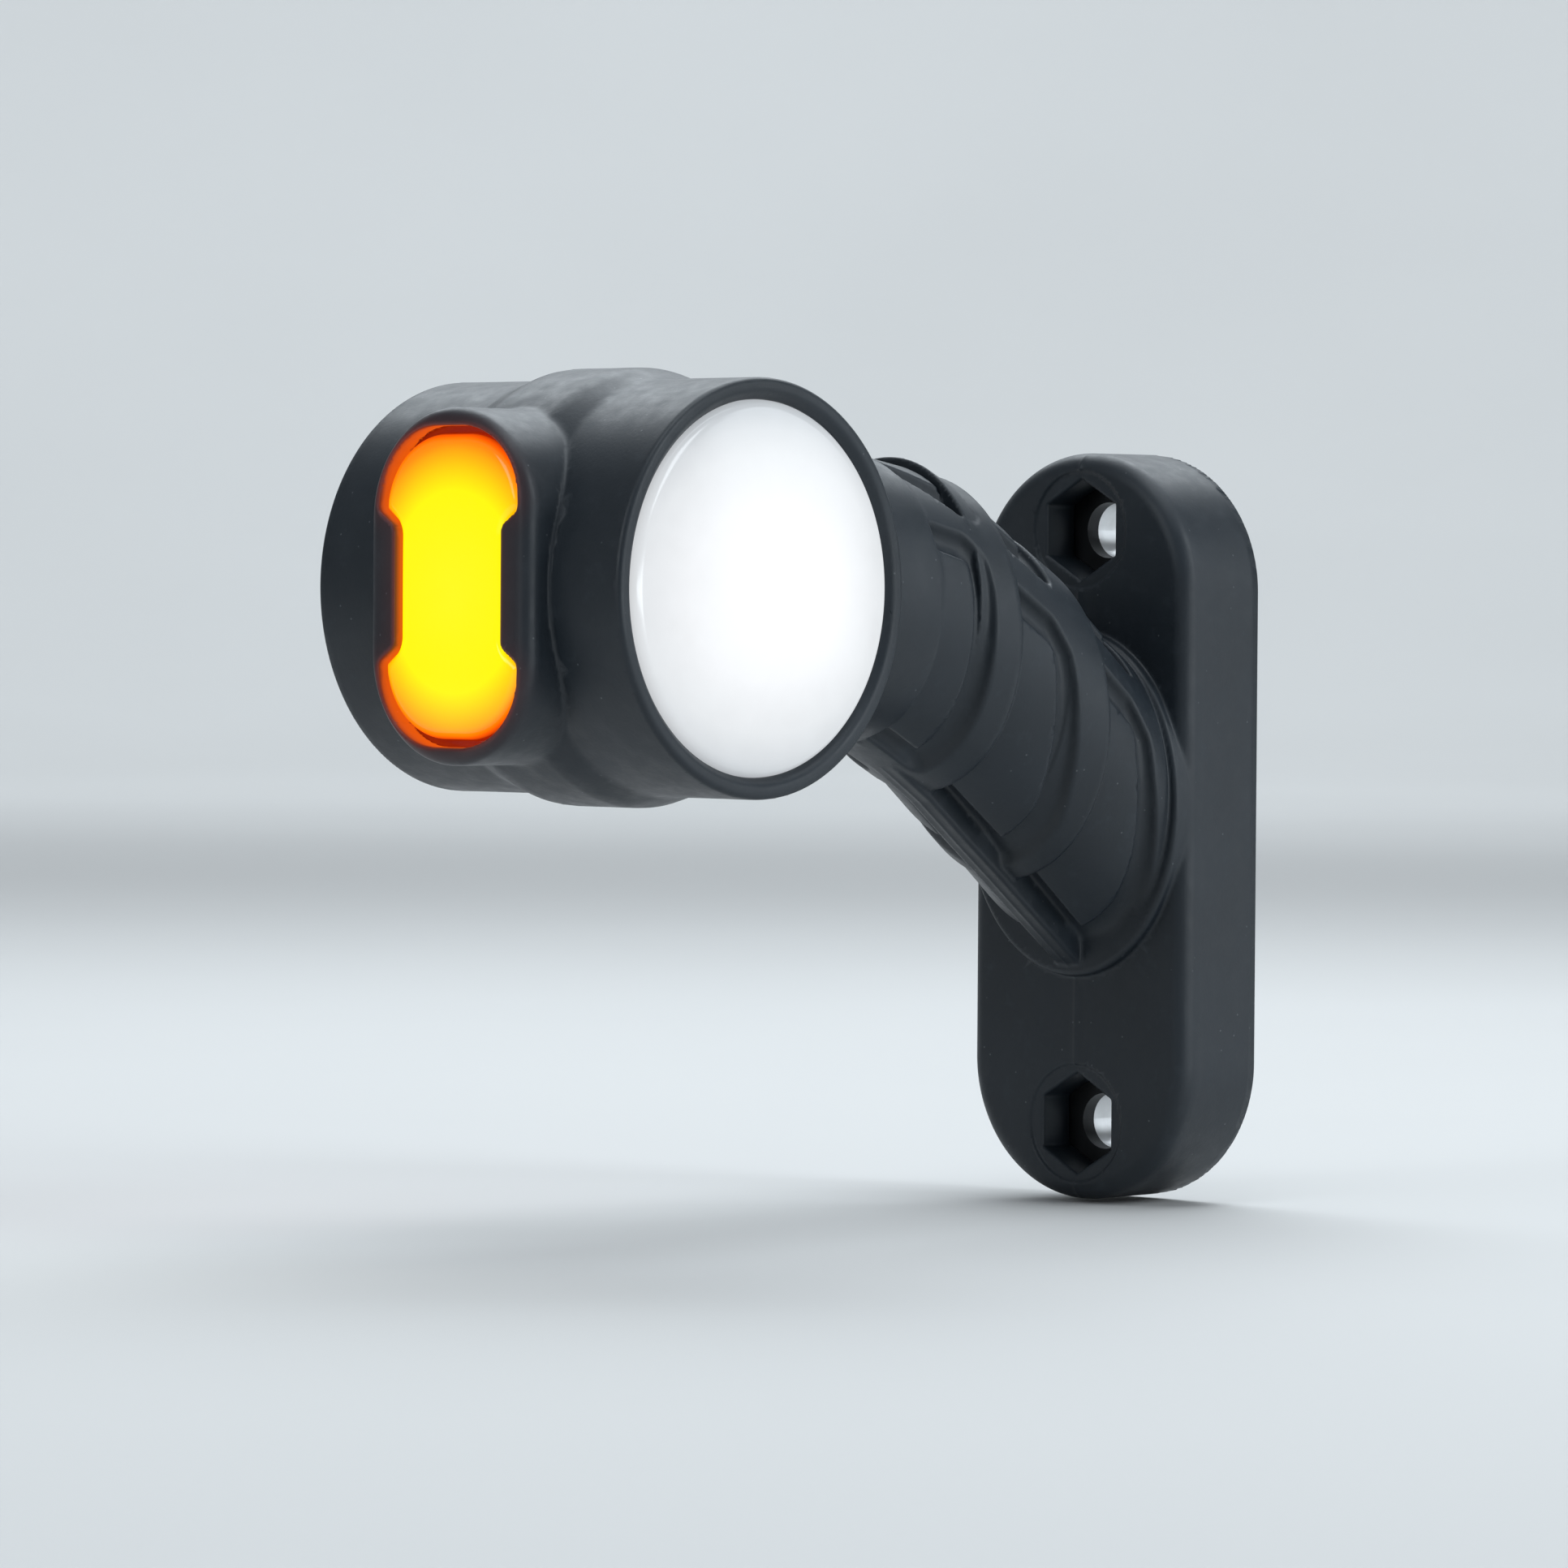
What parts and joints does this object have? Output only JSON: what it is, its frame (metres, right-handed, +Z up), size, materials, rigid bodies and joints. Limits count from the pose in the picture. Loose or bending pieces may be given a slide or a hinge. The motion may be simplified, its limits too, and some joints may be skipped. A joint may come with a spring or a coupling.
{
  "type": "vehicle outline marker lamp",
  "caption": "Outline marker lamp on a flexible sloping rubber arm: opal front lens, red rear lens, amber side lens and an upright oval bolt-on foot.",
  "frame": {"origin": "centre of the foot's flat back face, midway between the two bolts", "axes": "+X out of the foot's back face into the vehicle, +Z up, +Y towards the vehicle's rear; the lamp head stands out towards -X, the opal lens faces -Y"},
  "size_m": [0.1195, 0.0469, 0.096],
  "materials": {
    "rubber_black": "soft matte moulded rubber",
    "rubber_seal": "matte",
    "steel_zinc": "zinc plated, satin",
    "steel_black": "black electrocoat, satin",
    "plastic_black": "fine matte",
    "pin_brass": "bright drawn",
    "potting_resin": "glossy resin",
    "lens_opal": "smooth opal, glowing",
    "lens_red": "smooth, translucent red",
    "lens_amber": "smooth, translucent amber, glowing",
    "diffuser_white": "milky",
    "reflector_white": "bright matte",
    "circuit_board": "solder-masked board",
    "led_package": "LED package with phosphor",
    "screw_steel": "satin",
    "component_black": "moulded epoxy",
    "capacitor_can": "satin",
    "wire_red": "extruded insulation",
    "wire_black": "extruded insulation"
  },
  "bodies": {
    "foot": {"rubber_foot": "rubber_black", "foot_backing_plate": "steel_black", "bolt_sleeves": "steel_zinc", "inlet_socket_shell": "plastic_black", "inlet_pins": "pin_brass", "inlet_seal": "rubber_seal", "inlet_potting": "potting_resin"},
    "head": {"arm_flex_section": "rubber_black", "rubber_head_shell": "rubber_black", "lead_positive": "wire_red", "lead_negative": "wire_black", "lamp_barrel": "plastic_black", "front_lens": "lens_opal", "rear_lens": "lens_red", "side_lens": "lens_amber", "front_lens_seal": "rubber_seal", "rear_lens_seal": "rubber_seal", "side_lens_seal": "rubber_seal", "front_diffuser": "diffuser_white", "rear_diffuser": "diffuser_white", "side_diffuser": "diffuser_white", "front_reflector": "reflector_white", "rear_reflector": "reflector_white", "side_reflector": "reflector_white", "side_housing": "plastic_black", "front_led_board": "circuit_board", "rear_led_board": "circuit_board", "side_led_board": "circuit_board", "driver_board": "circuit_board", "front_leds": "led_package", "rear_leds": "led_package", "side_leds": "led_package", "board_screws": "screw_steel", "driver_chip": "component_black", "driver_inductor": "component_black", "driver_capacitors": "capacitor_can", "driver_resistors": "component_black", "driver_diode": "component_black", "board_link_pins": "pin_brass", "entry_potting": "potting_resin"}
  },
  "joints": [
    {"name": "arm_flex", "type": "hinge", "parent": "foot", "child": "head", "pos_m": [-0.0345, 0, 0.0177], "axis": [0, 0, 1], "range_deg": [-35, 35], "stiffness_Nm_per_rad": 4, "deforming": ["arm_flex_section", "lead_positive", "lead_negative"]}
  ]
}
